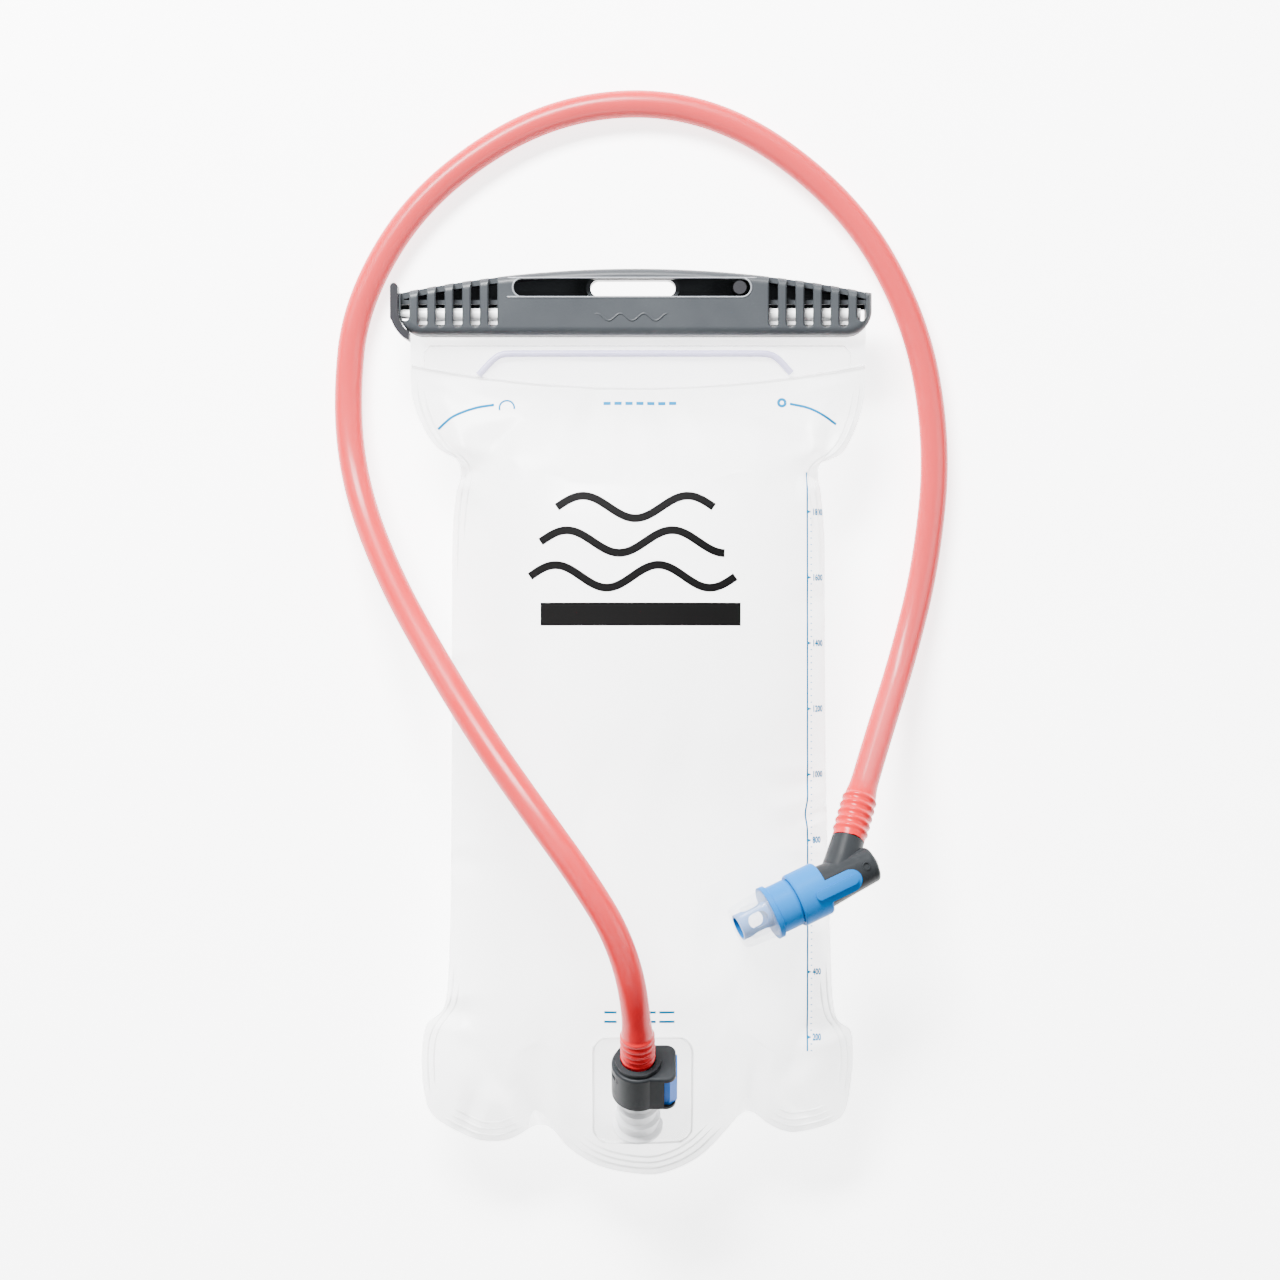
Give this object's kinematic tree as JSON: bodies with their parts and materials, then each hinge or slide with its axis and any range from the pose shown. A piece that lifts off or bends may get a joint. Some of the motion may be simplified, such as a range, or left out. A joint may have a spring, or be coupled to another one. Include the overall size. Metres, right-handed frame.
{
  "type": "hydration bladder",
  "caption": "Soft water reservoir with a slide-off mouth seal, a drink hose on a push-button quick connector, and an elbow bite valve with a twist shut-off.",
  "frame": {"origin": "on the flat of the back film that the bladder rests on, on the bag's centre line, 145 mm below the slide seal's lower edge", "axes": "+X across the bag to the release button's side, +Y along the bag towards the slide seal, +Z out of the front film"},
  "size_m": [0.2344, 0.4108, 0.0993],
  "materials": {
    "film_front": "satin milky TPU film with printed scale",
    "film_back": "satin milky TPU film",
    "clear_film": "clear glossy TPU film",
    "lavender_bead": "welded bead, lavender grey",
    "slide_grey": "satin moulded plastic",
    "dark_plastic": "satin moulded plastic",
    "port_clear": "frosted clear TPU",
    "seal_rubber": "black seal rubber",
    "spring_steel": "stainless spring wire",
    "connector_grey": "satin moulded plastic, dark grey",
    "blue_plastic": "moulded plastic, blue",
    "hose_red": "translucent red TPU tube",
    "valve_blue": "satin moulded plastic, light blue",
    "clear_silicone": "clear soft silicone"
  },
  "bodies": {
    "reservoir": {"front_panel": "film_front", "back_panel": "film_back", "mouth_cuff": "clear_film", "mouth_stiffener": "lavender_bead", "mouth_rail": "clear_film", "mouth_hem": "clear_film", "rail_stop": "dark_plastic", "port_patch": "clear_film", "port_nipple": "port_clear", "port_spigot": "dark_plastic", "port_oring": "seal_rubber", "poppet_guide": "dark_plastic", "poppet_spring": "spring_steel"},
    "slide_seal": {"slide_body": "slide_grey", "slide_stud": "dark_plastic"},
    "port_poppet": {"poppet": "dark_plastic", "poppet_seal": "seal_rubber"},
    "hose_set": {"connector_body": "connector_grey", "hose_barb": "connector_grey", "hose_collar": "connector_grey", "button_spring": "spring_steel", "drink_hose": "hose_red", "valve_elbow": "connector_grey", "elbow_oring": "seal_rubber"},
    "latch_button": {"release_button": "blue_plastic", "latch_plate": "dark_plastic"},
    "shutoff": {"shutoff_collar": "valve_blue", "valve_core": "valve_blue", "bite_tip": "clear_silicone"}
  },
  "joints": [
    {"name": "slide_seal_slide", "type": "slide", "parent": "reservoir", "child": "slide_seal", "axis": [1, 0, 0], "range_m": [0, 0.212]},
    {"name": "quick_disconnect", "type": "slide", "parent": "reservoir", "child": "hose_set", "axis": [0, 0.7431, 0.6691], "range_m": [0, 0.03]},
    {"name": "poppet_lift", "type": "slide", "parent": "reservoir", "child": "port_poppet", "axis": [0, 0.7431, 0.6691], "range_m": [0, 0.0024], "deforming": ["poppet_spring"]},
    {"name": "button_press", "type": "slide", "parent": "hose_set", "child": "latch_button", "axis": [-1, 0, 0], "range_m": [0, 0.0012], "stiffness_N_per_m": 900, "deforming": ["button_spring"]},
    {"name": "shutoff_twist", "type": "hinge", "parent": "hose_set", "child": "shutoff", "pos_m": [0.0623, -0.0629, 0.0555], "axis": [0.8887, 0.4087, -0.2079], "range_deg": [0, 90]}
  ],
  "couplings": [
    {"joint": "poppet_lift", "follows": "quick_disconnect", "ratio": 0.08}
  ]
}
